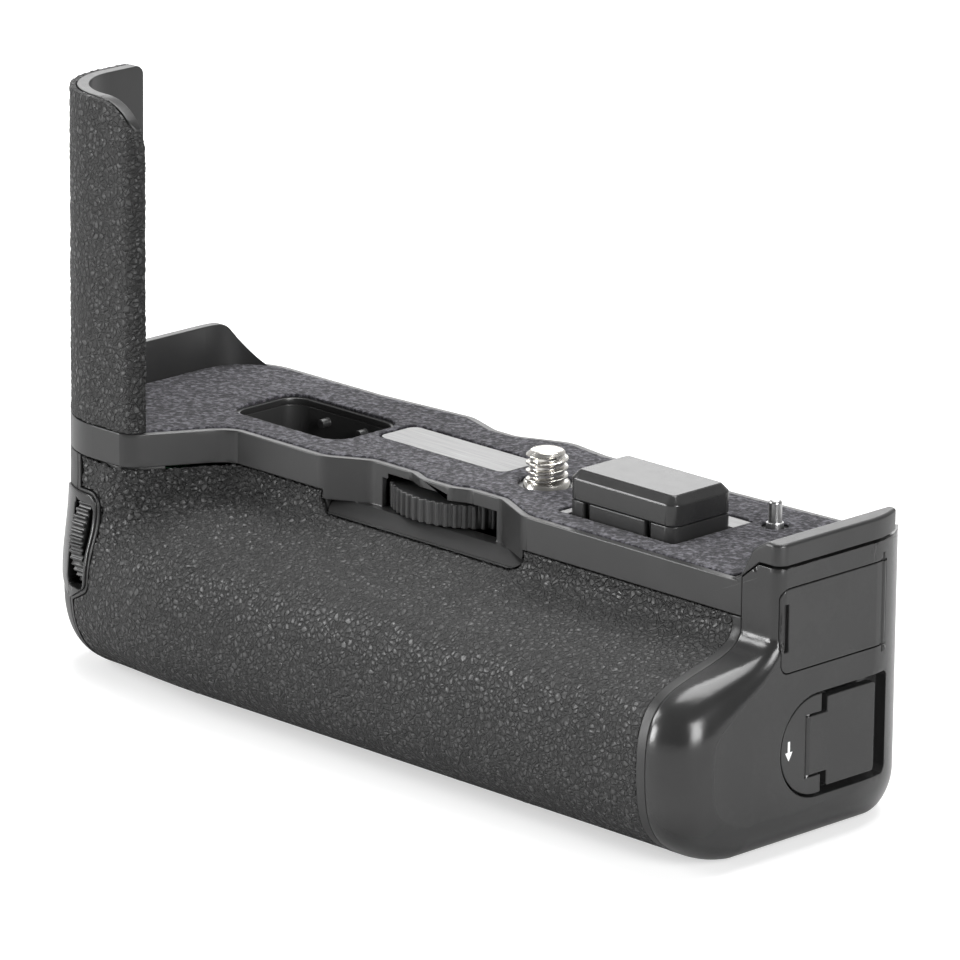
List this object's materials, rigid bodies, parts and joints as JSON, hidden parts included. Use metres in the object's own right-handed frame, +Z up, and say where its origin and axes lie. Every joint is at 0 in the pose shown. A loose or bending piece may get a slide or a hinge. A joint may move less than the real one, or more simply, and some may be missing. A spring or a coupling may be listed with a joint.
{
  "type": "camera battery grip",
  "caption": "Vertical battery grip that screws under a camera: sculpted rubber front, tall finger fin, thumbwheel screw, felt seat, connector block and a slide-out battery tray.",
  "frame": {"origin": "centre of the bounding box's base, on the table the grip stands on", "axes": "+X along the grip from the shutter end to the battery end, +Y from the rubber front to the back, +Z up out of the felt seat along the mounting screw"},
  "size_m": [0.1404, 0.0518, 0.09],
  "materials": {
    "case_plastic": "fine satin moulded texture",
    "grip_rubber": "leather grain",
    "cover_plastic": "smooth satin",
    "cap_plastic": "semi-gloss",
    "felt": "short flock",
    "steel": "turned",
    "nickel": "bright nickel plate",
    "brass": "plain",
    "label_metal": "fine satin foil",
    "board": "solder mask",
    "inner_plastic": "plain moulding",
    "battery_case": "fine texture",
    "button_plastic": "satin gloss",
    "lamp": "tinted"
  },
  "bodies": {
    "grip": {"main_case": "case_plastic", "grip_skin": "grip_rubber", "rear_pad": "grip_rubber", "end_cover": "case_plastic", "dial_bezel": "cap_plastic", "top_cover": "cover_plastic", "felt_pad": "felt", "fin_shell": "cover_plastic", "fin_skin": "grip_rubber", "well_liner": "inner_plastic", "label_plate": "label_metal", "connector_mat": "label_metal", "connector_base": "cover_plastic", "connector_plug": "inner_plastic", "locating_pin": "steel", "wheel_axle": "steel", "screw_retainer": "steel", "retainer_screws": "steel", "circuit_board": "board", "control_board": "board", "rear_board": "board", "dial_encoders": "inner_plastic", "shutter_switch": "inner_plastic", "button_domes": "steel", "rear_panel": "cover_plastic", "gimbal_base": "inner_plastic", "indicator_lamp": "lamp", "contact_block": "inner_plastic", "power_jack": "inner_plastic", "headphone_jack": "inner_plastic", "latch_keeper": "steel", "tripod_socket": "steel", "base_screws": "steel"},
    "tray": {"tray_frame": "inner_plastic", "battery_1": "battery_case", "battery_2": "battery_case", "tray_contacts": "brass", "end_cap": "cap_plastic", "port_hinge_pin": "steel"},
    "port_door": {"port_cover": "cap_plastic"},
    "latch": {"latch_disc": "cover_plastic", "flap_pin": "steel"},
    "flap": {"latch_flap": "cap_plastic"},
    "wheel": {"mounting_wheel": "inner_plastic"},
    "screw": {"mounting_screw": "nickel"},
    "block_cap": {"connector_cap": "cap_plastic"},
    "front_dial_body": {"front_dial": "button_plastic"},
    "rear_dial_body": {"rear_dial": "button_plastic"},
    "shutter": {"shutter_button": "button_plastic", "shutter_spring": "steel"},
    "lever_ring": {"lock_lever": "button_plastic"},
    "function": {"function_button": "button_plastic"},
    "ae": {"ae_button": "button_plastic"},
    "af": {"af_button": "button_plastic"},
    "q": {"q_button": "button_plastic"},
    "rocker": {"focus_rocker": "inner_plastic"},
    "stick": {"focus_lever": "button_plastic"}
  },
  "joints": [
    {"name": "tray_slide", "type": "slide", "parent": "grip", "child": "tray", "axis": [1, 0, 0], "range_m": [0, 0.105]},
    {"name": "port_hinge", "type": "hinge", "parent": "tray", "child": "port_door", "pos_m": [0.0696, 0.0152, 0.0334], "axis": [0, 0, 1], "range_deg": [0, 95]},
    {"name": "latch_turn", "type": "hinge", "parent": "tray", "child": "latch", "pos_m": [0.0677, 0.0019, 0.0153], "axis": [1, 0, 0], "range_deg": [0, 60]},
    {"name": "flap_fold", "type": "hinge", "parent": "latch", "child": "flap", "pos_m": [0.0693, 0.0005, 0.0153], "axis": [0, 0, -1], "range_deg": [0, 100]},
    {"name": "wheel_turn", "type": "hinge", "parent": "grip", "child": "wheel", "pos_m": [-0.00406, 0.00865, 0.035], "axis": [0, 0, 1], "continuous": true},
    {"name": "screw_turn", "type": "hinge", "parent": "grip", "child": "screw", "pos_m": [0.0104, 0.0076, 0.042], "axis": [0, 0, 1], "continuous": true},
    {"name": "block_cap_lift", "type": "slide", "parent": "grip", "child": "block_cap", "axis": [0, 0, 1], "range_m": [0, 0.012]},
    {"name": "front_dial_turn", "type": "hinge", "parent": "grip", "child": "front_dial_body", "pos_m": [-0.0592, -0.0124, 0.0207], "axis": [1, 0, 0], "continuous": true},
    {"name": "rear_dial_turn", "type": "hinge", "parent": "grip", "child": "rear_dial_body", "pos_m": [-0.0592, 0.0152, 0.022], "axis": [1, 0, 0], "continuous": true},
    {"name": "shutter_press", "type": "slide", "parent": "grip", "child": "shutter", "axis": [1, 0, 0], "range_m": [0, 0.0012], "stiffness_N_per_m": 400, "deforming": ["shutter_spring"]},
    {"name": "lock_turn", "type": "hinge", "parent": "grip", "child": "lever_ring", "pos_m": [-0.069, 0.003, 0.023], "axis": [-1, 0, 0], "range_deg": [0, 40]},
    {"name": "function_press", "type": "slide", "parent": "grip", "child": "function", "axis": [1, 0, 0], "range_m": [0, 0.0005], "stiffness_N_per_m": 400},
    {"name": "ae_press", "type": "slide", "parent": "grip", "child": "ae", "axis": [0, -1, 0], "range_m": [0, 0.0005], "stiffness_N_per_m": 400},
    {"name": "af_press", "type": "slide", "parent": "grip", "child": "af", "axis": [0, -1, 0], "range_m": [0, 0.0005], "stiffness_N_per_m": 400},
    {"name": "q_press", "type": "slide", "parent": "grip", "child": "q", "axis": [0, -1, 0], "range_m": [0, 0.0005], "stiffness_N_per_m": 400},
    {"name": "stick_up_down", "type": "hinge", "parent": "grip", "child": "rocker", "pos_m": [-0.0485, 0.018, 0.017], "axis": [1, 0, 0], "range_deg": [-8, 8], "stiffness_Nm_per_rad": 0.02},
    {"name": "stick_side", "type": "hinge", "parent": "rocker", "child": "stick", "pos_m": [-0.0485, 0.018, 0.017], "axis": [0, 0, 1], "range_deg": [-8, 8], "stiffness_Nm_per_rad": 0.02}
  ],
  "couplings": [
    {"joint": "screw_turn", "follows": "wheel_turn", "ratio": -1.7619},
    {"joint": "latch_turn", "follows": "flap_fold", "ratio": 0.6}
  ]
}
